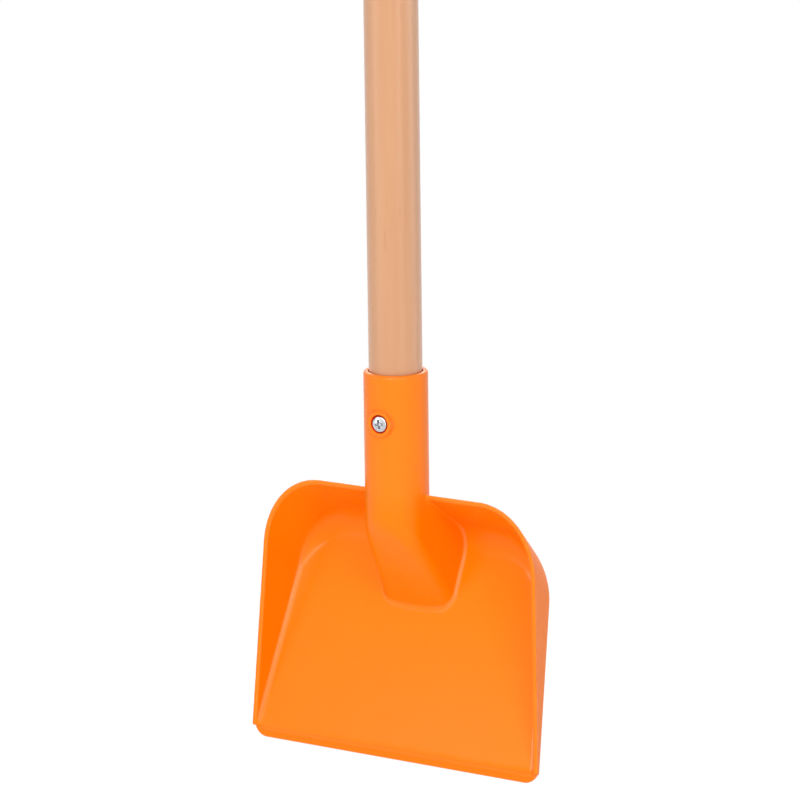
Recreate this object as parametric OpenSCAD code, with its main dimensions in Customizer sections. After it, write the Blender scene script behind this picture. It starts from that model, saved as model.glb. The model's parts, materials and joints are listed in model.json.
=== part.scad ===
// Sand shovel: a moulded pan with a socket, a round wooden handle and the screw that holds it.
// The handle stands along Z, the pan opens towards -Y. The origin is the middle of the bare handle.

/* [Handle] */
// Diameter of the round handle
handle_d = 22; // [18:0.5:28]
// Length of the handle, with the end that sits in the socket
handle_len = 600; // [250:10:1100]
// Rounding of the handle's free end
handle_round = 5; // [1:0.5:8]
// Chamfer round the handle's end in the socket
seat_chamfer = 1.5; // [0.5:0.5:3]
// How much thinner than the rest the end in the socket is turned
seat_relief = 0.4; // [0.1:0.1:1]

/* [Socket] */
// Wall of the socket and of the root below it
socket_wall = 2; // [1.5:0.1:3.5]
// Room round the bare handle in the mouth, on the diameter
bore_play = 0.5; // [0.2:0.1:1]
// Depth of the bore
socket_depth = 60; // [54:1:75]
// Thickness of the bore's closed end
socket_end = 2.5; // [1.5:0.5:4]
// Rounding of the mouth's outer edge
mouth_round = 1.6; // [0.4:0.1:2]

/* [Screw] */
// Distance of the screw below the mouth
screw_drop = 20; // [12:1:35]
// Diameter of the screw over its thread
screw_d = 3.5; // [3:0.1:4.5]
// Diameter of the screw's core
screw_core_d = 2.4; // [2:0.1:2.8]
// Length of the screw below its head
screw_len = 16; // [10:1:20]
// Length of the screw's point
screw_point = 3; // [2:0.5:5]
// Pitch of the screw's thread
screw_pitch = 1.3; // [1:0.1:1.8]
// Diameter of the screw's head
head_d = 6.6; // [6:0.1:9]
// Height of the head's straight edge
head_edge = 1.3; // [0.5:0.1:1.6]
// Rise of the head's dome above that edge
head_dome = 0.6; // [0.4:0.1:2]
// Length of each slot of the head's cross
cross_len = 4.2; // [2.5:0.1:5]
// Width of each slot of the head's cross
cross_w = 1; // [0.6:0.1:1.2]
// Depth of the cross below the top of the dome
cross_depth = 1; // [0.6:0.1:1.6]

/* [Screw boss] */
// Diameter of the flat boss round the screw
boss_d = 11.6; // [10:0.1:15]
// Rise of the boss above the socket
boss_rise = 0.6; // [0.3:0.1:1.5]
// Depth of the round sink that holds the head
sink_depth = 1.5; // [0.8:0.1:1.8]
// Room round the head in the sink, on the diameter
sink_play = 1; // [0.4:0.1:2]
// Room round the thread in the wall and in the handle, on the diameter
thread_play = 0.2; // [0.1:0.1:0.6]

/* [Pan] */
// Thickness of the pan's walls and floor
pan_wall = 2; // [1.5:0.1:3]
// Distance of the rim's top edge below the mouth
rim_drop = 51.2; // [40:0.1:53]
// Distance of the rim's top edge behind the handle's axis
rim_back = 0.7; // [-3:0.1:4]
// Lean of the rim to the handle
rim_lean = 4.2; // [0:0.1:8]
// Length of the rim, from its top edge down to the lip
rim_len = 110; // [100:1:160]
// Width over the rim at the lip
lip_w = 138; // [120:1:190]
// Width over the rim at its top, as if it had no corners
top_w = 127.2; // [116:0.1:180]
// Width of a rounded corner of the rim
corner_w = 26; // [16:1:32]
// Height of a rounded corner of the rim
corner_h = 29; // [16:1:34]
// Slope of the floor to the rim
floor_lean = 16; // [12:0.5:19]
// Length of the flat floor, from the lip to the curve at the back
floor_len = 85; // [78:1:88]
// Radius of the curve from the floor up into the back wall
back_round = 14; // [8:1:17]
// Width of the straight middle of that curve
back_w = 76; // [60:1:90]
// Lean of the side walls, outwards
side_lean = 13.5; // [8:0.5:18]

/* [Lip] */
// Height of the side walls where the lip starts
lip_depth = 1; // [0.5:0.1:3]
// Length of the bevelled lip
lip_len = 4.1; // [3:0.1:8]
// Thickness of the lip's front edge
lip_edge = 0.7; // [0.4:0.1:1.4]
// Radius of the lip's two front corners
lip_corner = 6; // [4.5:0.5:12]

/* [Root] */
// Distance of the root's crest below the bore's floor, on the front
root_drop = 3.5; // [2.5:0.5:8]
// Lean of the root's slope to the handle
root_lean = 33.8; // [26:0.1:38]
// Radius across the root's slope
root_round = 90; // [35:1:140]
// Spread of the root's sides towards the floor
root_spread = 11.5; // [6:0.5:20]

/* [Hidden] */
$fn = 64;
// Segments of the rounded shapes that are blended into the pan
blend_fn = 32;
// Overrun of every cut
over = 1;
// Thickness of the thin plates that the pan's form is stretched over
skin = 0.2;
// Gap between the screw's point and the end of its hole
point_gap = 1;
// Where the corners of the floor lie between the back curve and the crease, and how round they are
heel_x_share = 0.69;
heel_z_share = 0.94;
heel_round_share = 0.43;
crease_z_share = 0.845;
// How far in front of the handle's axis the root's sides start inside the tube, as a share of its radius
root_start_share = 0.25;

mouth_z = (socket_depth - handle_len) / 2;
bore_r = (handle_d + bore_play) / 2;
socket_r = bore_r + socket_wall;
mouth_edge = min(mouth_round, socket_wall);
seat_r = (handle_d - seat_relief) / 2;
boss_face = socket_r + boss_rise;
head_seat = boss_face - sink_depth;
sink_r = (head_d + sink_play) / 2;
hole_r = (screw_d + thread_play) / 2;
crest_z = -socket_depth - root_drop;
// Change of half the rim's width for each length down the rim
taper = (lip_w - top_w) / 2 / rim_len;
// Half of the floor's width at the lip, and its change for each length up the floor
crease_half = lip_w / 2 - pan_wall - lip_depth * tan(side_lean);
crease_taper = cos(floor_lean) * taper + sin(floor_lean) * tan(side_lean);
// Where the floor's plane meets the rim's, below the rim's top edge
rim_end = rim_len + lip_depth / tan(floor_lean);
// Half of the distance between the centres of the lip's two corners
corner_half = crease_half + pan_wall / 2 - sqrt(lip_len * (2 * lip_corner - lip_len));
// How far below the start of the bevel the pan reaches before the lip is cut
foot = lip_len + over;
// Length that is sure to pass right through the pan or the root
through = rim_len + socket_depth;

function rim_half(down) = top_w / 2 + down * taper;
function floor_half(up) = crease_half - up * crease_taper;

// The rim's plane: Y is the depth behind it, Z runs up the rim, the origin is its top edge
module at_rim() {
    translate([0, rim_back, -rim_drop]) rotate([-rim_lean, 0, 0]) children();
}

// The floor's inner face: Y is the depth behind it, Z runs up the floor from the lip
module at_floor() {
    at_rim() translate([0, lip_depth, -rim_len]) rotate([-floor_lean, 0, 0]) children();
}

// Solid form of the pan, which stands out in front of the rim by the reach. The inset shrinks it.
module pan_form(inset, reach) {
    drop = pan_wall - inset;
    heel_z = floor_len * crease_z_share;
    edge = drop * (1 / cos(side_lean) - tan(side_lean) * cos(floor_lean));
    hull() {
        at_rim() for (side = [-1, 1]) {
            translate([side * (rim_half(corner_h) - corner_w), -reach, -corner_h])
                rotate([-90, 0, 0])
                    scale([corner_w - inset, corner_h - inset, 1])
                        cylinder(r = 1, h = reach, $fn = 2 * blend_fn);
            translate([side * (rim_half(rim_end) - inset) - skin / 2, -reach, -rim_end])
                cube([skin, reach, skin]);
        }
        at_floor() {
            translate([0, drop, 0]) rotate([90, 0, 0]) linear_extrude(skin)
                polygon([
                    [-floor_half(-foot) - edge, -foot], [floor_half(-foot) + edge, -foot],
                    [floor_half(heel_z) + edge, heel_z], [-floor_half(heel_z) - edge, heel_z]
                ]);
            for (side = [-1, 1]) {
                translate([side * back_w / 2, -back_round, floor_len])
                    sphere(r = back_round + drop, $fn = blend_fn);
                ball(side, back_round * heel_round_share, drop);
            }
        }
    }
}

// Small ball in the corner of the floor, between the back curve and the side's crease
module ball(side, r, drop) {
    half = back_w / 2;
    reach = half + (floor_half(floor_len) - half) * heel_x_share;
    translate([side * reach, -r, floor_len * heel_z_share]) sphere(r = r + drop, $fn = blend_fn);
}

// Outline of the tube and of the root behind it, seen along the handle
module root_outline(r) {
    start = r * root_start_share;
    circle(r);
    polygon([
        [start * tan(root_spread) - r, -start], [r - start * tan(root_spread), -start],
        [r + through * tan(root_spread), through], [-r - through * tan(root_spread), through]
    ]);
}

// The root below a height: sides that spread back to the floor, and a slope with a slight crown
module root_form(inset, top) {
    intersection() {
        translate([0, 0, top - through]) linear_extrude(through) root_outline(socket_r - inset);
        translate([0, -socket_r, crest_z]) rotate([root_lean, 0, 0])
            translate([0, root_round, 0])
                cylinder(r = root_round - inset, h = 2 * through, center = true);
    }
}

module socket() {
    rotate_extrude() {
        translate([0, -socket_depth - socket_end]) square([socket_r, socket_depth + socket_end - mouth_edge]);
        translate([0, -mouth_edge]) square([socket_r - mouth_edge, mouth_edge]);
        translate([socket_r - mouth_edge, -mouth_edge]) intersection() {
            circle(mouth_edge);
            square(mouth_edge);
        }
    }
}

// Everything in front of the rim, in front of the lip's bevel, and outside the lip's two corners
module front_cut() {
    reach = lip_w + 2 * over;
    at_rim() translate([-reach / 2, -through, -through]) cube([reach, through, 2 * through]);
    at_floor() {
        translate([-reach / 2, 0, 0]) rotate([90, 0, 90]) linear_extrude(reach)
            polygon([
                [0, 0], [pan_wall - lip_edge, -lip_len], [pan_wall + over, -lip_len],
                [pan_wall + over, -foot - over], [-foot, -foot - over], [-foot, 0]
            ]);
        for (side = [-1, 1]) mirror([(1 - side) / 2, 0, 0])
            translate([corner_half, pan_wall + over, -lip_len]) rotate([90, 0, 0])
                linear_extrude(pan_wall + lip_len + over) difference() {
                    translate([0, -over]) square([lip_w / 2 - corner_half + over, lip_len + over]);
                    translate([0, lip_corner]) circle(lip_corner);
                }
    }
}

module blade() color([1, 0.56, 0.17]) {
    translate([0, 0, mouth_z]) difference() {
        union() {
            difference() {
                pan_form(0, over);
                pan_form(pan_wall, 2 * over);
                front_cut();
            }
            intersection() {
                root_form(0, -rim_drop + socket_r);
                pan_form(0, socket_r + over);
            }
            socket();
            translate([0, 0, -screw_drop]) rotate([90, 0, 0]) cylinder(d = boss_d, h = boss_face);
        }
        // Bore, hollow behind the root, hole and sink of the screw
        translate([0, 0, -socket_depth]) cylinder(r = bore_r, h = socket_depth + over);
        root_form(socket_wall, -socket_depth - socket_end);
        translate([0, 0, -screw_drop]) rotate([90, 0, 0]) {
            cylinder(r = hole_r, h = boss_face + over);
            translate([0, 0, head_seat]) cylinder(r = sink_r, h = sink_depth + over);
        }
    }
}

module handle() color([0.89, 0.68, 0.53]) {
    bare = handle_len - socket_depth;
    hole_len = screw_len - head_seat + point_gap;
    translate([0, 0, mouth_z]) difference() {
        translate([0, 0, -socket_depth]) rotate_extrude() {
            polygon([
                [0, 0], [seat_r - seat_chamfer, 0], [seat_r, seat_chamfer],
                [seat_r, socket_depth], [0, socket_depth]
            ]);
            translate([0, socket_depth]) square([handle_d / 2, bare - handle_round]);
            translate([0, handle_len - handle_round]) square([handle_d / 2 - handle_round, handle_round]);
            translate([handle_d / 2 - handle_round, handle_len - handle_round]) intersection() {
                circle(handle_round);
                square(handle_round);
            }
        }
        translate([0, hole_len, -screw_drop]) rotate([90, 0, 0])
            cylinder(r = hole_r, h = hole_len + handle_d);
    }
}

// The screw points back along +Y, its head sits on the floor of the boss's sink
module screw() color([0.78, 0.79, 0.8]) {
    head_r = head_d / 2;
    dome_r = (head_r * head_r + head_dome * head_dome) / (2 * head_dome);
    head_h = head_edge + head_dome;
    turns = floor((screw_len - screw_point) / screw_pitch) - 1;
    translate([0, -head_seat, mouth_z - screw_drop]) rotate([90, 0, 0]) {
        difference() {
            intersection() {
                cylinder(r = head_r, h = head_h);
                translate([0, 0, head_h - dome_r]) sphere(dome_r);
            }
            for (turn = [0, 90]) rotate([0, 0, turn])
                translate([-cross_len / 2, -cross_w / 2, head_h - cross_depth])
                    cube([cross_len, cross_w, cross_depth + over]);
        }
        mirror([0, 0, 1]) rotate_extrude() {
            square([screw_core_d / 2, screw_len - screw_point]);
            polygon([
                [0, screw_len - screw_point], [screw_core_d / 2, screw_len - screw_point], [0, screw_len]
            ]);
            for (i = [0 : turns]) translate([0, i * screw_pitch])
                polygon([
                    [screw_core_d / 4, 0], [screw_core_d / 2, 0], [screw_d / 2, screw_pitch / 2],
                    [screw_core_d / 2, screw_pitch], [screw_core_d / 4, screw_pitch]
                ]);
        }
    }
}

blade();
handle();
screw();
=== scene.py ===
import bpy
import json
import math
import numpy as np
from mathutils import Matrix, Vector

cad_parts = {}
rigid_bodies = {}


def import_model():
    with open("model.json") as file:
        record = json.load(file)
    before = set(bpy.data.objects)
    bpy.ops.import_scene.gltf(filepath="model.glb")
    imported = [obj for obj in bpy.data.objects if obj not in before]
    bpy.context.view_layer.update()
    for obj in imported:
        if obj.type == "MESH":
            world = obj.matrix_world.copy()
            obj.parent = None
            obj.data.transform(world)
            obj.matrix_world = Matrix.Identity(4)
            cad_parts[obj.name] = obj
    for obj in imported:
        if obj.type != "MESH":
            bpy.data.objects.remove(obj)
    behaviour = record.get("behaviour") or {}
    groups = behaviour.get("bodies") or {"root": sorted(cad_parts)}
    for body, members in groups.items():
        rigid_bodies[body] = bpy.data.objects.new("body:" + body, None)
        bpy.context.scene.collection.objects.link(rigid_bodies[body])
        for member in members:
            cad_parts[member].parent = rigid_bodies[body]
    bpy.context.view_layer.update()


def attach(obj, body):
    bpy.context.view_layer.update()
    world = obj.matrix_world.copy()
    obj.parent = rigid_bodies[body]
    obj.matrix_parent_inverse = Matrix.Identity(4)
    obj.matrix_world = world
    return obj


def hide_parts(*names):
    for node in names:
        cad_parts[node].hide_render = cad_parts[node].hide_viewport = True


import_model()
mm = 0.001

# Camera, found from the photo: angles in degrees, lengths in mm from the middle of the socket's mouth
cameraFit = {
    "mouthHeight": -270.0,
    "yaw": 30.562,
    "pitch": 13.624,
    "roll": 0.731,
    "across": -1.793,
    "down": -12.434,
    "distance": 1575.09,
    "focalPixels": 3863.4,
    "imagePixels": 800.0,
    "sensor": 36.0,
    "clipNear": 50.0,
    "clipFar": 50000.0,
}


def makeCamera(fit):
    yaw, pitch, roll = (math.radians(fit[name]) for name in ("yaw", "pitch", "roll"))
    level = Vector((math.cos(yaw), math.sin(yaw), 0))
    ahead = Vector((-math.sin(yaw), math.cos(yaw), 0))
    forward = ahead * math.cos(pitch) - Vector((0, 0, math.sin(pitch)))
    below = forward.cross(level)
    right = math.cos(roll) * level + math.sin(roll) * below
    down = math.cos(roll) * below - math.sin(roll) * level
    place = -(right * fit["across"] + down * fit["down"] + forward * fit["distance"])
    place.z += fit["mouthHeight"]
    data = bpy.data.cameras.new("photoCamera")
    data.sensor_width = fit["sensor"]
    data.lens = fit["focalPixels"] * fit["sensor"] / fit["imagePixels"]
    data.clip_start, data.clip_end = fit["clipNear"] * mm, fit["clipFar"] * mm
    camera = bpy.data.objects.new("photoCamera", data)
    bpy.context.collection.objects.link(camera)
    turn = Matrix((right, -down, -forward)).transposed().to_4x4()
    turn.translation = place * mm
    camera.matrix_world = turn
    bpy.context.scene.camera = camera


makeCamera(cameraFit)
print("camera is in place")


# A socket that plain arithmetic works on: each operation adds a Math node to the socket's tree
class Wire:
    def __init__(self, tree, socket):
        self.tree, self.socket = tree, socket

    def calc(self, operation, *values):
        return self.tree.add("ShaderNodeMath", {"operation": operation}, dict(enumerate(values)))

    def __add__(self, other):
        return self.calc("ADD", self, other)

    def __radd__(self, other):
        return self.calc("ADD", other, self)

    def __sub__(self, other):
        return self.calc("SUBTRACT", self, other)

    def __rsub__(self, other):
        return self.calc("SUBTRACT", other, self)

    def __mul__(self, other):
        return self.calc("MULTIPLY", self, other)

    def __rmul__(self, other):
        return self.calc("MULTIPLY", other, self)

    def __truediv__(self, other):
        return self.calc("DIVIDE", self, other)

    def __rtruediv__(self, other):
        return self.calc("DIVIDE", other, self)


# A node tree, of a material or of Geometry Nodes
class Tree:
    def __init__(self, nodeTree):
        self.nodeTree = nodeTree

    def add(self, kind, settings=None, sockets=None, output=0):
        node = self.nodeTree.nodes.new(kind)
        for name, value in (settings or {}).items():
            if name == "stops":
                self.setStops(node.color_ramp.elements, value)
            else:
                setattr(node, name, value)
        for key, value in (sockets or {}).items():
            self.put(node.inputs[key], value)
        return Wire(self, node.outputs[output])

    def put(self, socket, value):
        if isinstance(value, Wire):
            self.nodeTree.links.new(value.socket, socket)
        else:
            socket.default_value = value

    def setStops(self, elements, stops):
        while len(elements) < len(stops):
            elements.new(1.0)
        for element, (position, grey) in zip(elements, stops):
            element.position = position
            element.color = (grey, grey, grey, 1)

    def mixColour(self, factor, first, second):
        return self.add("ShaderNodeMix", {"data_type": "RGBA"}, {0: factor, 6: first, 7: second}, 2)

    def bump(self, height, strength, depth, after=None):
        sockets = {"Height": height, "Strength": strength, "Distance": depth}
        if after:
            sockets["Normal"] = after
        return self.add("ShaderNodeBump", {}, sockets)


# A colour as a picture shows it, turned into the linear one that Blender works with
def shade(red, green, blue):
    values = [v / 255 for v in (red, green, blue)]
    return tuple(v / 12.92 if v <= 0.04045 else ((v + 0.055) / 1.055) ** 2.4 for v in values) + (1.0,)


def newMaterial(name, surface):
    material = bpy.data.materials.new(name)
    material.use_nodes = True
    tree = Tree(material.node_tree)
    shader = next(n for n in material.node_tree.nodes if n.type == "BSDF_PRINCIPLED")
    for key, value in surface.items():
        tree.put(shader.inputs[key], value)
    return material, tree, shader


def objectPoint(tree):
    return tree.add("ShaderNodeTexCoord", output="Object")


def stretched(tree, point, scale, turn=(0, 0, 0)):
    return tree.add("ShaderNodeMapping", {}, {"Vector": point, "Scale": scale, "Rotation": turn})


def noise(tree, point, scale, detail=2.0, roughness=0.5):
    sockets = {"Vector": point, "Scale": scale, "Detail": detail, "Roughness": roughness}
    return tree.add("ShaderNodeTexNoise", {}, sockets)


# A noise as a swing of this size about zero
def swing(pattern, size):
    return (pattern - 0.5) * size


def meshMark(tree, name):
    return tree.add("ShaderNodeAttribute", {"attribute_name": name}, output="Fac")


# The plastic: deep orange, satin, with the faint cloudiness and fine grain of a moulding. Creases are
# glossier. Paler colour paints highlights in the creases and on a line round the back corners, painted
# light on the floor and the tube, and a painted highlight with light wear on the edges. Deeper colour
# paints shade on the lip's bevel, round the boss and in the sink round the screw. The pan is duller
# outside. The blade's mesh says where.
plastic = {
    "ior": 1.5,
    "colour": (255, 126, 0),
    "deep": (255, 123, 0),
    "pale": (255, 129, 4),
    "paleLightAndWear": (255, 152, 76),
    "thin": (254, 120, 0),
    "cut": (242, 56, 0),
    "creasePaintedHighlight": 0.1,
    "paintedLightShare": 0.42,
    "edgeWearAndHighlight": 0.2,
    "edgeCoat": 0.1,
    "coatRoughness": 0.16,
    "roughness": 0.28,
    "roughOutside": 0.17,
    "gloss": 0.14,
    "evenness": 0.5,
    "cloudScale": 22.0,
    "cloudDetail": 3.0,
    "cloudRoughness": 0.08,
    "grainScale": 2600.0,
    "grainRoughness": 0.06,
    "grainStrength": 0.3,
    "grainDepth": 0.00004,
    "waveScale": 60.0,
    "waveDetail": 1.0,
    "waveStrength": 0.25,
    "waveDepth": 0.00012,
}


def makePlastic(p):
    surface = {"IOR": p["ior"], "Specular IOR Level": p["gloss"], "Coat Roughness": p["coatRoughness"]}
    material, tree, shader = newMaterial("orangePlastic", surface)
    point = objectPoint(tree)
    cloud = noise(tree, point, p["cloudScale"], p["cloudDetail"])
    grain = noise(tree, point, p["grainScale"])
    colour = tree.mixColour(cloud, shade(*p["deep"]), shade(*p["pale"]))
    colour = tree.mixColour(p["evenness"], colour, shade(*p["colour"]))
    crease, edge, worn, thin, cut, outside = (
        meshMark(tree, name) for name in ("crease", "edge", "worn", "thin", "cut", "outside")
    )
    # Paler colour: painted highlights in the creases and on the line round the back corners, painted light
    # on the floor and tube, and a painted highlight with light wear on the edges
    paleLightAndWear = crease * p["creasePaintedHighlight"] + edge * p["edgeWearAndHighlight"] + worn * p["paintedLightShare"]
    # Deeper colour: painted shade on the lip's bevel and on the ring round the boss
    colour = tree.mixColour(thin, colour, shade(*p["thin"]))
    colour = tree.mixColour(paleLightAndWear, colour, shade(*p["paleLightAndWear"]))
    # Dark red: painted shade in the sink round the screw, and a little on the ring round the boss
    tree.put(shader.inputs["Base Color"], tree.mixColour(cut, colour, shade(*p["cut"])))
    tree.put(shader.inputs["Coat Weight"], crease + edge * p["edgeCoat"])
    roughness = p["roughness"] + outside * p["roughOutside"]
    uneven = swing(cloud, p["cloudRoughness"]) + swing(grain, p["grainRoughness"])
    tree.put(shader.inputs["Roughness"], roughness + uneven)
    wave = noise(tree, point, p["waveScale"], p["waveDetail"])
    swell = tree.bump(wave, p["waveStrength"], p["waveDepth"])
    tree.put(shader.inputs["Normal"], tree.bump(grain, p["grainStrength"], p["grainDepth"], swell))
    return material


# The wood: pale beech with growth lines, fine fibres and short dark flecks, under a clear satin finish
beech = {
    "ior": 1.5,
    "pale": (216, 163, 120),
    "colour": (207, 151, 105),
    "dark": (189, 126, 85),
    "fleck": (168, 104, 68),
    "evenness": 0.55,
    "stretch": 0.035,
    "lean": (0.012, 0.02, 0),
    "lineScale": 210.0,
    "lineDetail": 3.0,
    "lineRoughness": 0.55,
    "fibreScale": 1500.0,
    "fibreDetail": 2.0,
    "fibreSharpness": 0.6,
    "fibreShade": 0.25,
    "fibreRoughness": 0.12,
    "fibreStrength": 0.5,
    "fibreDepth": 0.00006,
    "fleckScale": 420.0,
    "fleckStretch": 0.09,
    "fleckStops": [(0.10, 1.0), (0.22, 0.0)],
    "fleckShade": 0.22,
    "fleckPit": 0.3,
    "roughness": 0.42,
    "coat": 0.8,
    "coatRoughness": 0.35,
    "sheen": 0.06,
    "sheenRoughness": 0.4,
}


def makeBeech(p):
    surface = {
        "IOR": p["ior"], "Coat Weight": p["coat"], "Coat Roughness": p["coatRoughness"],
        "Sheen Weight": p["sheen"], "Sheen Roughness": p["sheenRoughness"],
    }
    material, tree, shader = newMaterial("beechWood", surface)
    point = objectPoint(tree)
    along = stretched(tree, point, (1, 1, p["stretch"]), p["lean"])
    lines = noise(tree, along, p["lineScale"], p["lineDetail"], p["lineRoughness"])
    fibre = noise(tree, along, p["fibreScale"], p["fibreDetail"], p["fibreSharpness"])
    short = stretched(tree, point, (1, 1, p["fleckStretch"]))
    cells = tree.add("ShaderNodeTexVoronoi", {}, {"Vector": short, "Scale": p["fleckScale"]})
    flecks = tree.add("ShaderNodeValToRGB", {"stops": p["fleckStops"]}, {0: cells})
    wood = tree.mixColour(lines, shade(*p["dark"]), shade(*p["pale"]))
    wood = tree.mixColour(p["evenness"], wood, shade(*p["colour"]))
    wood = tree.mixColour((1 - fibre) * p["fibreShade"], wood, shade(*p["dark"]))
    wood = tree.mixColour(flecks * p["fleckShade"], wood, shade(*p["fleck"]))
    tree.put(shader.inputs["Base Color"], wood)
    tree.put(shader.inputs["Roughness"], p["roughness"] + swing(fibre, p["fibreRoughness"]))
    relief = fibre - flecks * p["fleckPit"]
    tree.put(shader.inputs["Normal"], tree.bump(relief, p["fibreStrength"], p["fibreDepth"]))
    return material


# The screw: bright zinc with faint turning marks, with painted shade in its recess and a painted dark
# reflection beside it
zinc = {
    "colour": (214, 216, 220),
    "dull": (176, 178, 184),
    "recess": (150, 152, 156),
    "roughness": 0.24,
    "patchScale": 700.0,
    "patchShade": 0.5,
    "patchRoughness": 0.14,
    "markScale": 900.0,
    "markDetail": 3.0,
    "markSharpness": 0.6,
    "markStretch": 0.15,
    "markStrength": 0.3,
    "markDepth": 0.00002,
}


def makeZinc(p):
    material, tree, shader = newMaterial("brightZinc", {"Metallic": 1.0})
    point = objectPoint(tree)
    patch = noise(tree, point, p["patchScale"])
    lengthened = stretched(tree, point, (1, p["markStretch"], 1))
    marks = noise(tree, lengthened, p["markScale"], p["markDetail"], p["markSharpness"])
    colour = tree.mixColour(patch * p["patchShade"], shade(*p["colour"]), shade(*p["dull"]))
    # Greyer in the recess as painted shade, and in a patch beside it as a painted dark reflection
    colour = tree.mixColour(meshMark(tree, "recess"), colour, shade(*p["recess"]))
    tree.put(shader.inputs["Base Color"], colour)
    tree.put(shader.inputs["Roughness"], p["roughness"] + swing(patch, p["patchRoughness"]))
    tree.put(shader.inputs["Normal"], tree.bump(marks, p["markStrength"], p["markDepth"]))
    return material


plasticFinish = makePlastic(plastic)
beechFinish = makeBeech(beech)
zincFinish = makeZinc(zinc)
print("materials are ready")


# Fields: negative inside, positive outside, in mm. Rounded ways to join two of them:
def common(first, second, radius):
    a, b = np.maximum(first + radius, 0), np.maximum(second + radius, 0)
    return np.minimum(np.maximum(first, second), -radius) + np.hypot(a, b)


def joined(first, second, radius):
    a, b = np.maximum(radius - first, 0), np.maximum(radius - second, 0)
    return np.maximum(np.minimum(first, second), radius) - np.hypot(a, b)


# The same as common, but a true round where the faces meet at an angle. The second result says how far
# round that edge a point is.
def commonOblique(first, second, cosine, radius):
    a, b = first + radius, second + radius
    alongFirst, alongSecond = a - cosine * b, b - cosine * a
    square = np.maximum(a * a + b * b - 2 * cosine * a * b, 0) / (1 - cosine * cosine)
    edge = (alongFirst > 0) & (alongSecond > 0)
    value = np.where(edge, np.sqrt(square) - radius, np.maximum(first, second))
    share = np.arctan2(np.maximum(alongSecond, 0), np.maximum(alongFirst, 0)) / (math.pi / 2)
    share = np.where((alongFirst <= 0) & (alongSecond <= 0), (second > first) * 1.0, share)
    return value, share


# 0 up to the start, 1 after the length that follows it
def ramp(value, start, length):
    return np.clip((value - start) / length, 0, 1)


# 1 where a distance is about zero, 0 from the reach on
def near(distance, reach, fade):
    return np.clip((reach - np.abs(distance)) / fade, 0, 1)


# Cell corners along one axis: bands of (start, end, step)
def bandedAxis(*bands):
    parts = [np.linspace(a, b, max(int(round((b - a) / step)), 1) + 1)[:-1] for a, b, step in bands]
    return np.append(np.concatenate(parts), bands[-1][1]).astype(np.float32)


# How a skin is drawn from a field. Lengths in mm.
skinning = {
    "slopeReach": 0.02,
    "leastSteepness": 0.05,
    "leastLength": 1e-9,
    "stepShare": 0.6,
    "settleRounds": 2,
    "smoothShare": 0.5,
    "lastStep": 0.1,
    "bendReach": 0.4,
    "hollowBend": (0.5, 3.0),
    "roundBend": (0.8, 1.6),
}


def slope(field, points):
    reach = skinning["slopeReach"]
    result = np.empty_like(points)
    for axis in range(3):
        ahead, behind = points.copy(), points.copy()
        ahead[:, axis] += reach
        behind[:, axis] -= reach
        result[:, axis] = (field(*ahead.T) - field(*behind.T)) / (2 * reach)
    return result


# Moves points onto the skin, by no more than the limit in each round
def settle(field, points, rounds, limit):
    for _ in range(rounds):
        steepness = slope(field, points)
        square = np.maximum((steepness ** 2).sum(1), skinning["leastSteepness"])
        step = -(field(*points.T) / square)[:, None] * steepness
        size = np.maximum(np.linalg.norm(step, axis=1), skinning["leastLength"])
        points = points + step * np.minimum(1, limit / size)[:, None]
    return points


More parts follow.
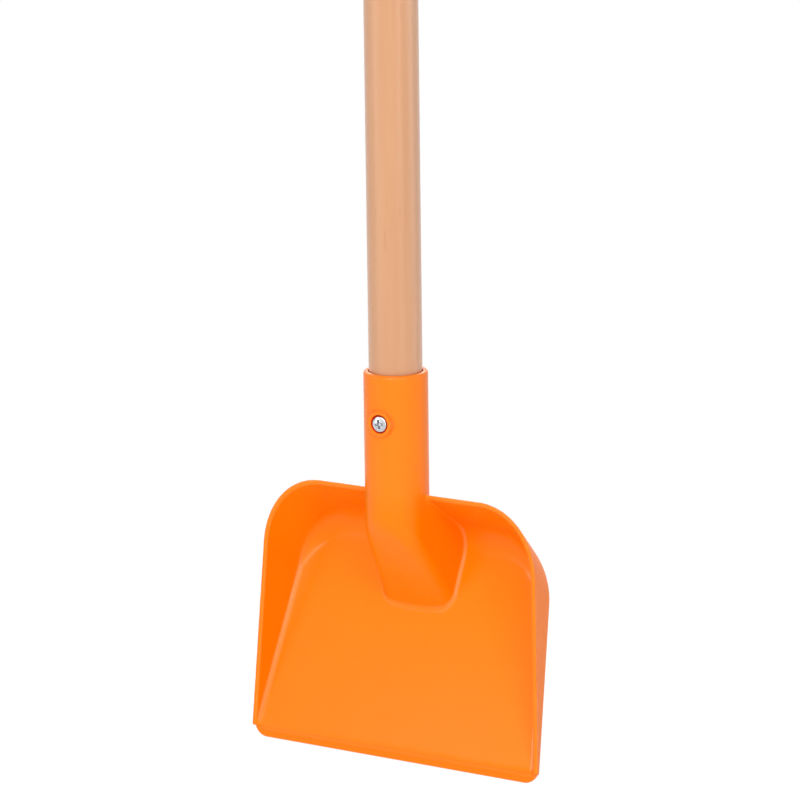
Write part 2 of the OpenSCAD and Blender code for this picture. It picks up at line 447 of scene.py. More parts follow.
# The skin of a field as quads, one corner in each cell that the skin passes through
def skinOfField(field, axes, smoothing):
    values = field(axes[0][:, None, None], axes[1][None, :, None], axes[2][None, None, :])
    inside = values < 0
    columns, rows, layers = (size - 1 for size in inside.shape)
    count = sum(
        inside[i:columns + i, j:rows + j, k:layers + k].astype(np.int8)
        for i in (0, 1) for j in (0, 1) for k in (0, 1)
    )
    mixed = (count > 0) & (count < 8)
    number = np.full(mixed.shape, -1, np.int64)
    cells = np.argwhere(mixed)
    number[mixed] = np.arange(len(cells))

    # A corner starts at the mean of the places where the cell's edges cross the skin
    total, hits = np.zeros((len(cells), 3)), np.zeros(len(cells))
    for axis in range(3):
        others = [a for a in range(3) if a != axis]
        for corner in ((0, 0), (0, 1), (1, 0), (1, 1)):
            start = cells.copy()
            start[:, others[0]] += corner[0]
            start[:, others[1]] += corner[1]
            end = start.copy()
            end[:, axis] += 1
            first, second = values[tuple(start.T)], values[tuple(end.T)]
            crossed = (first < 0) != (second < 0)
            share = np.where(crossed, first / np.where(crossed, first - second, 1), 0)
            low = np.stack([axes[a][start[:, a]] for a in range(3)], 1).astype(float)
            high = np.stack([axes[a][end[:, a]] for a in range(3)], 1)
            total += (low + (high - low) * share[:, None]) * crossed[:, None]
            hits += crossed
    points = total / hits[:, None]

    # A quad joins the four cells round each edge that crosses the skin
    quads = []
    for axis in range(3):
        b, c = (axis + 1) % 3, (axis + 2) % 3
        lower = [slice(None)] * 3
        upper = [slice(None)] * 3
        lower[axis], upper[axis] = slice(0, -1), slice(1, None)
        start, end = inside[tuple(lower)], inside[tuple(upper)]
        edges = np.argwhere(start != end)
        corners = []
        for db, dc in ((-1, -1), (0, -1), (0, 0), (-1, 0)):
            cell = edges.copy()
            cell[:, b] += db
            cell[:, c] += dc
            corners.append(number[tuple(cell.T)])
        quad = np.stack(corners, 1)
        outward = start[tuple(edges.T)]
        quads.append(np.where(outward[:, None], quad, quad[:, ::-1]))
    quads = np.concatenate(quads)

    # Corners slide along the skin towards the mean of their neighbours
    rounds, half = skinning["settleRounds"], skinning["smoothShare"]
    limit = skinning["stepShare"] * float(min(np.diff(a).max() for a in axes))
    points = settle(field, points, rounds, limit)
    ends = np.concatenate([quads[:, [0, 1]], quads[:, [1, 2]], quads[:, [2, 3]], quads[:, [3, 0]]])
    degree = np.bincount(ends[:, 0], minlength=len(points)) + np.bincount(ends[:, 1], minlength=len(points))
    for _ in range(smoothing):
        mean = np.stack([
            np.bincount(ends[:, 0], points[ends[:, 1], a], len(points))
            + np.bincount(ends[:, 1], points[ends[:, 0], a], len(points)) for a in range(3)
        ], 1) / degree[:, None]
        points = settle(field, points * (1 - half) + mean * half, 1, limit)
    return settle(field, points, rounds, limit), quads


def meshFromSkin(name, points, quads):
    mesh = bpy.data.meshes.new(name)
    mesh.vertices.add(len(points))
    mesh.vertices.foreach_set("co", (points * mm).ravel())
    mesh.loops.add(quads.size)
    mesh.loops.foreach_set("vertex_index", quads.ravel())
    mesh.polygons.add(len(quads))
    mesh.polygons.foreach_set("loop_start", np.arange(0, quads.size, 4))
    mesh.update(calc_edges=True)
    mesh.validate()
    return mesh


def cornersOf(piece):
    corners = np.empty(len(piece.data.vertices) * 3)
    piece.data.vertices.foreach_get("co", corners)
    return corners.reshape(-1, 3) / mm


def putMarks(piece, marks):
    for name, values in marks.items():
        attribute = piece.data.attributes.new(name, "FLOAT", "POINT")
        attribute.data.foreach_set("value", values.astype(np.float32))


# Thins a skin to a number of triangles, then sets its corners and normals by the field again
def thinnedPiece(name, field, points, quads, triangles):
    mesh = meshFromSkin(name, points, quads)
    piece = bpy.data.objects.new(name, mesh)
    bpy.context.collection.objects.link(piece)
    share = triangles / (2 * len(quads))
    if share < 1:
        thin = piece.modifiers.new("thin", "DECIMATE")
        thin.ratio = share
        depsgraph = bpy.context.evaluated_depsgraph_get()
        thinned = bpy.data.meshes.new_from_object(piece.evaluated_get(depsgraph))
        piece.modifiers.remove(thin)
        piece.data = thinned
        bpy.data.meshes.remove(mesh)
        mesh = thinned
        mesh.name = name
    corners = settle(field, cornersOf(piece), skinning["settleRounds"], skinning["lastStep"])
    mesh.vertices.foreach_set("co", (corners * mm).ravel())
    normals = slope(field, corners)
    normals /= np.maximum(np.linalg.norm(normals, axis=1), skinning["leastLength"])[:, None]
    mesh.shade_smooth()
    mesh.normals_split_custom_set_from_vertices(normals)
    return piece


# How tightly the skin bends at each corner, as a hollow and as a round: from 0 for flat to 1 for tight
def bending(field, points):
    reach = skinning["bendReach"]
    total = -6 * field(*points.T)
    for axis in range(3):
        for step in (-reach, reach):
            moved = points.copy()
            moved[:, axis] += step
            total += field(*moved.T)
    bend = total / reach ** 2
    (hollowFrom, hollowGain), (roundFrom, roundGain) = skinning["hollowBend"], skinning["roundBend"]
    return np.clip(-hollowGain * bend - hollowFrom, 0, 1), np.clip(roundGain * bend - roundFrom, 0, 1)


# The blade, one moulding: lengths in mm, angles in degrees, heights and depths as the CAD has them
bladeSizes = {
    "mouthHeight": -270.0,
    "socketRadius": 13.25,
    "boreRadius": 11.25,
    "boreDepth": 60.0,
    "socketEnd": 2.5,
    "mouthRound": 1.45,
    "mouthInnerRound": 0.4,
    "wall": 2.0,
    "rimDrop": 51.2,
    "rimBack": 0.7,
    "rimLean": 4.2,
    "rimLength": 110.0,
    "rimRound": 0.75,
    "lipWidth": 138.0,
    "topWidth": 127.2,
    "cornerRound": 28.0,
    "sideLean": 13.5,
    "backLean": 57.0,
    "backLeanOutside": 58.2,
    "floorLean": 16.0,
    "creaseRound": 2.2,
    "creaseOutside": 1.0,
    "backRound": 14.0,
    "lipDepth": 1.0,
    "lipLength": 4.1,
    "lipEdge": 0.7,
    "lipCorner": 6.0,
    "lipSoft": 0.3,
    "crestDrop": 63.5,
    "crestRound": 2.5,
    "rootLean": 33.8,
    "rootCrown": 90.0,
    "rootSpread": 11.5,
    "rootShoulder": 4.5,
    "rootBase": 1.3,
    "screwDrop": 20.0,
    "bossRadius": 5.3,
    "bossRise": 0.6,
    "bossDraft": 15.0,
    "bossSoft": 0.25,
    "bossBase": 0.5,
    "sinkRadius": 3.8,
    "sinkDepth": 1.5,
    "holeRadius": 1.85,
    "tubeEndRound": 1.0,
    "hollowRound": 1.0,
    "hollowEdge": 0.4,
    # How the wall's round grows from the sides to the back, inside and outside
    "roundGrowth": 0.9,
    "roundGrowthOutside": 1.2,
    # The finish, with its painted highlights, light and shade. A pair is the start of a stretch and its
    # length, or a reach and its fade.
    "creaseBelow": (62.0, 18.0),
    "creaseBesideRoot": (6.0, 9.0),
    "plainLeft": 24.0,
    "plainShare": 0.2,
    "lineAt": 0.3,
    "lineReach": (0.98, 0.7),
    "lineStart": (0.0, 0.05),
    "lineEnd": (0.25, 0.2),
    "linePaintedHighlight": 1.6,
    "faceReach": (0.45, 0.3),
    "floorReach": (0.7, 0.5),
    "stripShare": 0.4,
    "stripDepths": (0.0, 20.0),
    "stripLeastDepth": 1.0,
    "patchShare": 0.55,
    "patchUp": (0.0, 70.0),
    "patchAcross": (-60.0, 90.0),
    "tubeLightShare": 0.3,
    "tubeLightHeights": (-60.0, 14.0),
    "lipPaintedShade": (0.3, 0.6),
    "lipPlain": 1.5,
    "rimPlain": 1.0,
    "edgeFree": 1.0,
    "ringReach": (0.7, 0.5),
    "ringShadeShare": 0.12,
    "sinkShadeFade": 0.2,
    # The skin's cells and where they change, heights from the socket's mouth
    "cell": 0.62,
    "screwCell": 0.28,
    "middleCell": 0.3,
    "tubeCell": 0.4,
    "lipCell": 0.36,
    "quickShare": 1.6,
    "sideRoom": 2.0,
    "screwReach": 7.0,
    "skinDepths": (-16.0, -9.0, 2.0, 28.0),
    "skinHeights": (-170.0, -155.0, -4.0, 2.0),
    "smoothing": 2,
    "triangles": 190000,
}


# Slopes of the side walls with the depth and down the rim, and the length of the normal that has these
def sideSlopes(b):
    sideTan = math.tan(math.radians(b["sideLean"]))
    taper = (b["lipWidth"] - b["topWidth"]) / 2 / b["rimLength"]
    return sideTan, taper, math.sqrt(1 + sideTan ** 2 + taper ** 2)


# The pan's form, filled, with its wall taken off by the inset. Also how far beyond the foot of the wall's
# round a point is, and how far round the back corner.
def panForm(b, across, depth, drop, floorDepth, inset):
    sideTan, taper, length = sideSlopes(b)
    backLean = math.radians(b["backLean"] if inset else b["backLeanOutside"])
    floorLean = math.radians(b["floorLean"])
    side = (across - (b["topWidth"] / 2 - inset + drop * taper - depth * sideTan)) / length
    back = depth * math.cos(backLean) - (drop - inset) * math.sin(backLean)
    sideBack = (sideTan * math.cos(backLean) + taper * math.sin(backLean)) / length
    sideFloor = (sideTan * math.cos(floorLean) - taper * math.sin(floorLean)) / length
    backFloor = math.cos(backLean) * math.cos(floorLean) - math.sin(backLean) * math.sin(floorLean)
    outward = b["wall"] - inset
    wall, share = commonOblique(side, back, sideBack, b["cornerRound"] + outward)
    grown = share ** (b["roundGrowth"] if inset else b["roundGrowthOutside"])
    start = b["creaseRound"] if inset else b["creaseOutside"]
    crease = start + (outward + b["backRound"] - start) * grown
    cosine = sideFloor + (backFloor - sideFloor) * share
    floor = floorDepth - outward
    beyondFoot = wall + crease - cosine * (floor + crease)
    return commonOblique(wall, floor, cosine, crease)[0], beyondFoot, share


# Where a point is, seen from the pan: behind the rim's plane, down along it, behind the floor, and up
# from the lip
def panPlace(b, y, height):
    lean, floorLean = math.radians(b["rimLean"]), math.radians(b["floorLean"])
    behind, above = y - b["rimBack"], height + b["rimDrop"]
    depth = behind * math.cos(lean) - above * math.sin(lean)
    drop = -(behind * math.sin(lean) + above * math.cos(lean))
    fromLip, up = depth - b["lipDepth"], b["rimLength"] - drop
    floorDepth = fromLip * math.cos(floorLean) - up * math.sin(floorLean)
    return depth, drop, floorDepth, fromLip * math.sin(floorLean) + up * math.cos(floorLean)


def bladeField(x, y, z):
    b = bladeSizes
    height = z - b["mouthHeight"]
    across = np.abs(x)
    around = np.hypot(x, y)
    spread = math.radians(b["rootSpread"])
    depth, drop, floorDepth, floorUp = panPlace(b, y, height)

    # Tube and root: two side faces that leave the tube smoothly, under a sloping front
    column = common(around - b["socketRadius"], height, b["mouthRound"])
    leaving = across * math.sin(spread) + y * math.cos(spread)
    sides = across * math.cos(spread) - y * math.sin(spread) - b["socketRadius"]
    profile = np.where(leaving < 0, around - b["socketRadius"], sides)
    turn = math.radians(b["rootLean"])
    forward, lower = y + b["socketRadius"], height + b["crestDrop"]
    facing = forward * math.cos(turn) + lower * math.sin(turn)
    crown = np.hypot(x, facing - b["rootCrown"]) - b["rootCrown"]
    widening = np.clip(1 + leaving / b["socketRadius"], 0, 1)
    shoulder = b["crestRound"] + (b["rootShoulder"] - b["crestRound"]) * widening
    front = common(column, crown, shoulder)
    wedge = np.maximum(common(profile, crown, shoulder), -drop)
    root = np.minimum(front, wedge)

    # Pan: the wall behind the cavity, joined to the root, cut at the outer form
    cavity = panForm(b, across, depth, drop, floorDepth, b["wall"])[0]
    outer = panForm(b, across, depth, drop, floorDepth, 0)[0]
    pan = common(-cavity, -depth, b["rimRound"])
    shell = common(joined(pan, root, b["rootBase"]), outer, b["rimRound"])

    # Lip: a bevel, a thin front edge and two round corners
    crease = b["lipWidth"] / 2 - b["wall"] - b["lipDepth"] * math.tan(math.radians(b["sideLean"]))
    halfSpan = math.sqrt(b["lipLength"] * (2 * b["lipCorner"] - b["lipLength"]))
    cornerAt = crease + b["wall"] / 2 - halfSpan
    bevel = (b["wall"] - b["lipEdge"]) / b["lipLength"]
    beyond = np.maximum(across - cornerAt, 0)
    short = np.maximum(b["lipCorner"] - b["lipLength"] - floorUp, 0)
    plate = np.hypot(beyond, short) - b["lipCorner"]
    slab = common(plate, (-floorUp * bevel - floorDepth) / math.hypot(1, bevel), b["lipSoft"])
    shell = common(shell, np.minimum(-floorUp, slab), b["lipSoft"])

    # The whole tube, its boss, and what is hollow
    tube = common(front, -(height + b["boreDepth"] + b["socketEnd"]), b["tubeEndRound"])
    body = np.minimum(shell, tube)
    toScrew = np.hypot(x, height + b["screwDrop"])
    bossFace = b["socketRadius"] + b["bossRise"]
    draft = math.radians(b["bossDraft"])
    bossSide = (toScrew - b["bossRadius"]) * math.cos(draft) - (y + bossFace) * math.sin(draft)
    boss = common(bossSide, np.maximum(-y - bossFace, y), b["bossSoft"])
    body = joined(body, boss, b["bossBase"])
    hollow = common(root + b["wall"], height + b["boreDepth"] + b["socketEnd"], b["hollowRound"])
    body = common(body, -hollow, b["hollowEdge"])
    bore = np.maximum(around - b["boreRadius"], -(height + b["boreDepth"]))
    body = common(body, -bore, b["mouthInnerRound"])
    sink = np.maximum(toScrew - b["sinkRadius"], y + bossFace - b["sinkDepth"])
    body = common(body, -sink, b["bossSoft"])
    hole = np.maximum(toScrew - b["holeRadius"], y)
    return np.maximum(body, -hole)


def bladeAxes(b):
    coarse = 1.0
    plain, atScrew, middle, atTube, atLip = (
        b[name] * coarse for name in ("cell", "screwCell", "middleCell", "tubeCell", "lipCell")
    )
    width, reach = b["lipWidth"] / 2 + b["sideRoom"], b["screwReach"]
    front, bossBack, tubeMiddle, back = b["skinDepths"]
    end, lipTop, mouthLow, top = (b["mouthHeight"] + height for height in b["skinHeights"])
    screwAt = b["mouthHeight"] - b["screwDrop"]
    return (
        bandedAxis((-width, -reach, plain), (-reach, reach, middle), (reach, width, plain)),
        bandedAxis((front, bossBack, atScrew), (bossBack, tubeMiddle, atTube), (tubeMiddle, back, plain)),
        bandedAxis(
            (end, lipTop, atLip), (lipTop, screwAt - reach, plain),
            (screwAt - reach, screwAt + reach, atScrew), (screwAt + reach, mouthLow, plain),
            (mouthLow, top, middle),
        ),
    )


# What the finish follows, at each corner of the skin: its gloss, its wear, and the painted highlights,
# light and shade
def bladeMarks(b, corners):
    x, y, z = corners.T
    across, height = np.abs(x), z - b["mouthHeight"]
    depth, drop, floorDepth, up = panPlace(b, y, height)
    outer = panForm(b, across, depth, drop, floorDepth, 0)[0]
    cavity, beyondFoot, turned = panForm(b, across, depth, drop, floorDepth, b["wall"])
    crease, edge = bending(bladeField, corners)

    # Creases shine below the socket, least round the root, painted paler as a highlight; so is a line round
    # the back corners
    besideRoot = ramp(np.maximum(x, -x - b["plainLeft"]), *b["creaseBesideRoot"])
    crease = crease * ramp(-height, *b["creaseBelow"]) * np.maximum(besideRoot, b["plainShare"])
    line = near(beyondFoot - b["lineAt"], *b["lineReach"]) * near(cavity, *b["faceReach"])
    line *= ramp(turned, *b["lineStart"]) * (1 - ramp(turned, *b["lineEnd"]))

    # Painted light, paler colour: on the floor along the side walls and towards the lip, more to one side,
    # and on the tube
    sideTan, taper, length = sideSlopes(b)
    fromWall = (b["topWidth"] / 2 - b["wall"] + drop * taper - depth * sideTan - across) / length
    strip = 1 - fromWall / (b["stripShare"] * np.maximum(depth, b["stripLeastDepth"]))
    strip = np.clip(strip, 0, 1) * ramp(depth, *b["stripDepths"])
    patch = b["patchShare"] * (1 - ramp(up, *b["patchUp"])) * ramp(x, *b["patchAcross"])
    worn = np.maximum(strip, patch) * near(floorDepth, *b["floorReach"]) * (up > b["lipPlain"])
    worn = np.maximum(worn, b["tubeLightShare"] * ramp(height, *b["tubeLightHeights"]))

    # Painted shade: dark red in the sink round the screw, and deeper colour on the ring where the boss
    # meets the tube
    toScrew = np.hypot(x, height + b["screwDrop"])
    ring = near(toScrew - b["bossRadius"] - b["bossBase"], *b["ringReach"]) * (y < 0)
    cut = 1 - ramp(toScrew, b["sinkRadius"], b["sinkShadeFade"])
    return {
        "crease": np.maximum(crease * (up > b["lipPlain"]), line),
        "worn": np.maximum(worn, b["linePaintedHighlight"] * line),
        # Edges: paler as light wear and as a painted highlight
        "edge": edge * (toScrew > b["bossRadius"] + b["edgeFree"]),
        # The lip's bevel and the boss's ring are deeper in colour: painted shade
        "thin": np.maximum(1 - ramp(up, *b["lipPaintedShade"]), ring),
        "cut": np.maximum(cut, b["ringShadeShare"] * ring) * (y < 0),
        "outside": near(outer, *b["faceReach"]) * (depth > b["rimPlain"]),
    }


def makeBlade(b):
    points, quads = skinOfField(bladeField, bladeAxes(b), b["smoothing"])
    print("blade skin:", len(points), "corners")
    piece = thinnedPiece("bladeMoulding", bladeField, points, quads, b["triangles"])
    putMarks(piece, bladeMarks(b, cornersOf(piece)))
    piece.data.materials.append(plasticFinish)
    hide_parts("blade")
    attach(piece, "root")


makeBlade(bladeSizes)
print("blade is made")


# Geometry Nodes tree with named inputs
class ShapeTree(Tree):
    def __init__(self, name, inputs):
        group = bpy.data.node_groups.new(name, "GeometryNodeTree")
        super().__init__(group)
        self.ids = {}
        for label, value in inputs.items():
            kind = "NodeSocketInt" if isinstance(value, int) else "NodeSocketFloat"
            socket = group.interface.new_socket(label, in_out="INPUT", socket_type=kind)
            socket.default_value = value
            self.ids[label] = socket.identifier
        group.interface.new_socket("Geometry", in_out="OUTPUT", socket_type="NodeSocketGeometry")
        self.entry = group.nodes.new("NodeGroupInput")
        self.inputs = inputs

    def value(self, label):
        return Wire(self, self.entry.outputs[label])

    def finishPiece(self, name, geometry, material):
        real = self.add("GeometryNodeRealizeInstances", {}, {0: geometry})
        painted = self.add("GeometryNodeSetMaterial", {}, {"Geometry": real, "Material": material})
        result = self.nodeTree.nodes.new("NodeGroupOutput")
        self.put(result.inputs[0], painted)
        piece = bpy.data.objects.new(name, bpy.data.meshes.new(name))
        bpy.context.collection.objects.link(piece)
        modifier = piece.modifiers.new("shape", "NODES")
        modifier.node_group = self.nodeTree
        for label, value in self.inputs.items():
            modifier[self.ids[label]] = value
        depsgraph = bpy.context.evaluated_depsgraph_get()
        mesh = bpy.data.meshes.new_from_object(piece.evaluated_get(depsgraph))
        piece.modifiers.remove(modifier)
        piece.data = mesh
        mesh.name = name
        mesh.shade_smooth()
        return piece


# The handle: a round stick, thinner where it sits in the socket, rounded at its free end. Lengths in m.
handleSizes = {
    "bottom": -0.330,
    "mouth": -0.270,
    "top": 0.270,
    "radius": 0.011,
    "seatRadius": 0.0108,
    "seatBelow": 0.001,
    "endRound": 0.005,
    "seatChamfer": 0.0015,
    "chamferWithin": 0.0001,
    "rings": 120,
    "endSteps": 14,
    "sides": 128,
}


def makeHandle(h):
    tree = ShapeTree("roundStick", h)
    bottom, top, radius, endRound = (tree.value(name) for name in ("bottom", "top", "radius", "endRound"))
    rings, steps, sides = (tree.value(name) for name in ("rings", "endSteps", "sides"))
    ends = {"Start": (0, 0, h["bottom"]), "End": (0, 0, h["top"])}
    line = tree.add("GeometryNodeCurvePrimitiveLine", {}, ends)
    line = tree.add("GeometryNodeResampleCurve", {}, {"Curve": line, "Count": rings})
    index = tree.add("GeometryNodeInputIndex")

    # The straight part's rings come first, then a quarter round
    straight = rings - 1 - steps
    angle = (index - straight).calc("MAXIMUM", index - straight, 0) / steps * (math.pi / 2)
    share = index.calc("MINIMUM", index / straight, 1)
    lift = bottom + (top - endRound - bottom) * share
    height = lift + angle.calc("SINE", angle) * endRound
    width = radius - (1 - angle.calc("COSINE", angle)) * endRound
    seated = height.calc("LESS_THAN", height, tree.value("mouth") - tree.value("seatBelow"))
    width = width - seated * (radius - tree.value("seatRadius"))
    lowEnd = height.calc("LESS_THAN", height, bottom + tree.value("chamferWithin"))
    width = width - lowEnd * tree.value("seatChamfer")
    place = tree.add("ShaderNodeCombineXYZ", {}, {"Z": height})
    line = tree.add("GeometryNodeSetPosition", {}, {"Geometry": line, "Position": place})
    ring = tree.add("GeometryNodeCurvePrimitiveCircle", {}, {"Resolution": sides, "Radius": 1.0})
    sockets = {"Curve": line, "Profile Curve": ring, "Scale": width, "Fill Caps": True}
    stick = tree.add("GeometryNodeCurveToMesh", {}, sockets)
    piece = tree.finishPiece("handleStick", stick, beechFinish)
    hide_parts("handle")
    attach(piece, "root")


makeHandle(handleSizes)
print("handle is made")


# The screw: a pan head with a cross recess, and a core with a thread that winds round it. Lengths in mm.
screwSizes = {
    "height": -290.1,
    "seat": -12.35,
    "headRadius": 3.3,
    "headEdge": 1.3,
    "headDome": 0.6,
    "headSoft": 0.35,
    "edgeSoft": 0.1,
    "slotHalfLength": 2.1,
    "slotHalfWidth": 0.5,
    "slotDepth": 1.0,
    "slotSoft": 0.12,
    "middleSoft": 0.15,
    "middleShare": 1.9,
    # How fast the recess closes in with the depth, and its shares at the slots' ends, flanks and middle
    "slotDraft": 0.3,
    "endShare": 1.6,
    "flankShare": 0.35,
    "hubShare": 1.2,
    "endSlope": 0.94,
    "flankSlope": 0.98,
    "crossTurn": 10.0,
    # Where the screw's colour is greyer: painted shade in the recess, and a painted dark reflection in a
    # patch beside it. Pairs are as the blade's.
    "shadeUnder": (0.15, 0.5),
    "shadeAround": (0.2, 0.5),
    "shadeShare": 0.8,
    "reflectionPlace": (-1.8, 1.9),
    "reflectionReach": (1.17, 0.9),
    "cell": 0.11,
    "skinRoom": 0.4,
    "smoothing": 2,
    "triangles": 60000,
    "coreRadius": 1.2,
    "threadRadius": 1.75,
    "pitch": 1.3,
    "length": 16.0,
    "point": 3.0,
    "pointEnd": 0.02,
    "rings": 33,
    "sides": 32,
    "threadSides": 4,
}


# How far a place is inside the sphere of the head's dome
def underDome(s, around, out):
    radius = (s["headRadius"] ** 2 + s["headDome"] ** 2) / (2 * s["headDome"])
    top = s["headEdge"] + s["headDome"]
    return radius - np.sqrt(around ** 2 + (out - top + radius) ** 2)


def screwField(x, y, z):
    s = screwSizes
    side, up, out = x, z - s["height"], s["seat"] - y
    around = np.hypot(side, up)
    rounded = common(around - s["headRadius"], -underDome(s, around, out), s["headSoft"])
    head = common(rounded, -out, s["edgeSoft"])

    # The recess: two crossed slots and a wider middle
    turn = math.radians(s["crossTurn"])
    u = np.abs(side * math.cos(turn) + up * math.sin(turn))
    v = np.abs(up * math.cos(turn) - side * math.sin(turn))
    deep = s["headEdge"] + s["headDome"] - out
    taper = deep * s["slotDraft"]
    ends = (np.maximum(u, v) + taper * s["endShare"] - s["slotHalfLength"]) * s["endSlope"]
    flanks = (np.minimum(u, v) + taper * s["flankShare"] - s["slotHalfWidth"]) * s["flankSlope"]
    slot = common(common(ends, flanks, s["slotSoft"]), deep - s["slotDepth"], s["slotSoft"])
    middle = around + taper * s["hubShare"] - s["slotHalfWidth"] * s["middleShare"]
    middle = common(middle, deep - s["slotDepth"], s["slotSoft"])
    return common(head, -joined(slot, middle, s["middleSoft"]), s["edgeSoft"])


def makeScrewHead(s):
    room, cell = s["skinRoom"], s["cell"]
    reach = s["headRadius"] + room
    axes = (
        bandedAxis((-reach, reach, cell)),
        bandedAxis((s["seat"] - s["headEdge"] - s["headDome"] - room, s["seat"] + room, cell)),
        bandedAxis((s["height"] - reach, s["height"] + reach, cell)),
    )
    points, quads = skinOfField(screwField, axes, s["smoothing"])
    head = thinnedPiece("screwHead", screwField, points, quads, s["triangles"])
    x, y, z = cornersOf(head).T
    up = z - s["height"]
    around = np.hypot(x, up)
    # Painted shade in the recess, and a painted dark reflection in a patch beside it
    dull = ramp(underDome(s, around, s["seat"] - y), *s["shadeUnder"])
    dull *= (around < s["shadeShare"] * s["headRadius"]) * ramp(around, *s["shadeAround"])
    patch = near(np.hypot(x - s["reflectionPlace"][0], up - s["reflectionPlace"][1]), *s["reflectionReach"])
    putMarks(head, {"recess": np.maximum(dull, patch)})
    head.data.materials.append(zincFinish)
    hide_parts("screw")
    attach(head, "root")


def makeScrewShaft(s):
    lengths = ("coreRadius", "threadRadius", "pitch", "length", "point", "pointEnd")
    inputs = {name: s[name] * mm for name in lengths}
    inputs.update({name: s[name] for name in ("rings", "sides", "threadSides")})
    tree = ShapeTree("screwThread", inputs)
    core, length, point, sides = (tree.value(name) for name in ("coreRadius", "length", "point", "sides"))
    line = tree.add("GeometryNodeCurvePrimitiveLine", {}, {"Start": (0, 0, 0), "End": (0, 0, 1)})
    line = tree.add("GeometryNodeResampleCurve", {}, {"Curve": line, "Count": tree.value("rings")})
    share = tree.add("GeometryNodeSplineParameter")
    place = tree.add("ShaderNodeCombineXYZ", {}, {"Z": share * length})
    line = tree.add("GeometryNodeSetPosition", {}, {"Geometry": line, "Position": place})
    left = length - share * length
    width = core * left.calc("MINIMUM", left / point, 1) + tree.value("pointEnd")
    ring = tree.add("GeometryNodeCurvePrimitiveCircle", {}, {"Resolution": sides, "Radius": 1.0})
    sockets = {"Curve": line, "Profile Curve": ring, "Scale": width, "Fill Caps": True}
    shank = tree.add("GeometryNodeCurveToMesh", {}, sockets)
    helix = tree.add("GeometryNodeCurveSpiral", {}, {
        "Resolution": sides, "Rotations": (length - point) / tree.value("pitch"),
        "Start Radius": core, "End Radius": core, "Height": length - point,
    })
    ridge = tree.add("GeometryNodeCurvePrimitiveCircle", {}, {
        "Resolution": tree.value("threadSides"), "Radius": tree.value("threadRadius") - core,
    })
    sockets = {"Curve": helix, "Profile Curve": ridge, "Fill Caps": True}
    thread = tree.add("GeometryNodeCurveToMesh", {}, sockets)
    both = tree.add("GeometryNodeJoinGeometry")
    for part in (shank, thread):
        tree.nodeTree.links.new(part.socket, both.socket.node.inputs[0])
    turned = tree.add("GeometryNodeTransform", {}, {
        "Geometry": both, "Translation": (0, s["seat"] * mm, s["height"] * mm),
        "Rotation": (-math.pi / 2, 0, 0),
    })
    shaft = tree.finishPiece("screwShaft", turned, zincFinish)
    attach(shaft, "root")


makeScrewHead(screwSizes)
makeScrewShaft(screwSizes)
print("screw is made")


# Floor, light and background. Lengths in m.
studio = {
    "floorHeight": -0.62,
    "floorSize": 60.0,
    "floorColour": (246, 246, 246),
    "floorRoughness": 0.9,
    "shadowShare": 0.3,
    "shadowReach": 1.3,
    "skyStrength": 0.06,
    "lampDistance": 2.2,
    "aim": (0.0, 0.0, -0.36),
    "front": 30.6,
    # Each lamp: how far round from the front and how high, in degrees, then its power and its size
    "lamps": [
        (-20, 35, 25.5, 1.0), (20, 35, 13.0, 1.0), (-20, 65, 4.0, 1.0),
        (-70, 6, 6.0, 0.9), (30, 3, 3.0, 0.28), (85, 3, 8.0, 1.0),
        (160, 35, 15.0, 1.0), (180, 35, 15.0, 1.0), (-160, 35, 15.0, 1.0),
    ],
}


# 1 for the rays that show a thing to the camera, straight or in a reflection
def seenDirectly(tree):
    paths = tree.nodeTree.nodes.new("ShaderNodeLightPath").outputs
    kinds = ("Camera", "Glossy", "Transmission")
    camera, mirror, through = (Wire(tree, paths[f"Is {kind} Ray"]) for kind in kinds)
    return camera.calc("MAXIMUM", camera, mirror.calc("MAXIMUM", mirror, through))


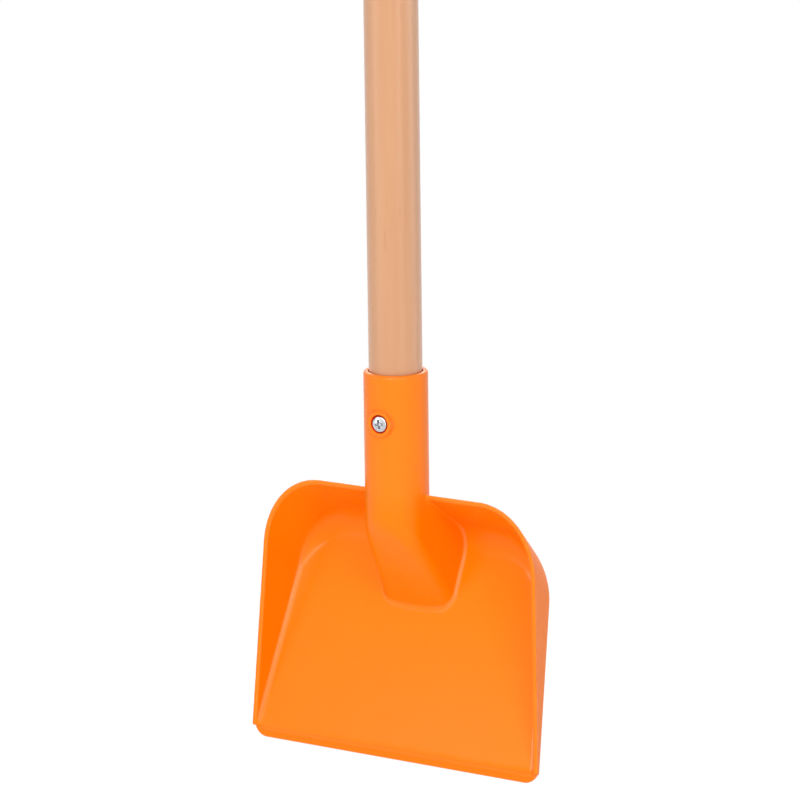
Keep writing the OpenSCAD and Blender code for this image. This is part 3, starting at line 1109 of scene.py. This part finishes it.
def makeStudio(s):
    surface = {"Base Color": shade(*s["floorColour"]), "Roughness": s["floorRoughness"]}
    material, tree, shader = newMaterial("paleFloor", surface)
    apart = tree.add("ShaderNodeVectorMath", {"operation": "LENGTH"}, {0: objectPoint(tree)}, "Value")
    close = apart.calc("MAXIMUM", 1 - apart / s["shadowReach"], 0)  # the lit floor shows only here
    seen = seenDirectly(tree) * (1 - close * s["shadowShare"])
    white = tree.add("ShaderNodeEmission", {}, {"Color": (1, 1, 1, 1), "Strength": 1.0})
    output = next(n for n in material.node_tree.nodes if n.type == "OUTPUT_MATERIAL")
    mixed = tree.add("ShaderNodeMixShader", {}, {0: seen, 1: Wire(tree, shader.outputs[0]), 2: white})
    tree.put(output.inputs["Surface"], mixed)
    half = s["floorSize"] / 2
    mesh = bpy.data.meshes.new("floor")
    corners = [(-half, -half), (half, -half), (half, half), (-half, half)]
    mesh.from_pydata([(x, y, s["floorHeight"]) for x, y in corners], [], [(0, 1, 2, 3)])
    floor = bpy.data.objects.new("floor", mesh)
    bpy.context.collection.objects.link(floor)
    mesh.materials.append(material)

    world = bpy.context.scene.world or bpy.data.worlds.new("studioSky")
    bpy.context.scene.world = world
    world.use_nodes = True
    sky = next(n for n in world.node_tree.nodes if n.type == "BACKGROUND")
    sky.inputs["Color"].default_value = (1, 1, 1, 1)
    skyTree = Tree(world.node_tree)
    direct = seenDirectly(skyTree)
    skyTree.put(sky.inputs["Strength"], s["skyStrength"] + direct * (1 - s["skyStrength"]))

    aim = Vector(s["aim"])
    for bearing, height, power, size in s["lamps"]:
        data = bpy.data.lights.new("softLamp", "AREA")
        data.energy, data.size = power, size
        lamp = bpy.data.objects.new("softLamp", data)
        bpy.context.collection.objects.link(lamp)
        turn, rise = math.radians(s["front"] + bearing), math.radians(height)
        away = Vector((math.sin(turn) * math.cos(rise), -math.cos(turn) * math.cos(rise), math.sin(rise)))
        lamp.location = aim + away * s["lampDistance"]
        lamp.rotation_mode = "QUATERNION"
        lamp.rotation_quaternion = away.to_track_quat("Z", "Y")


makeStudio(studio)
bpy.context.scene.view_settings.view_transform = "Standard"
print("studio is lit")
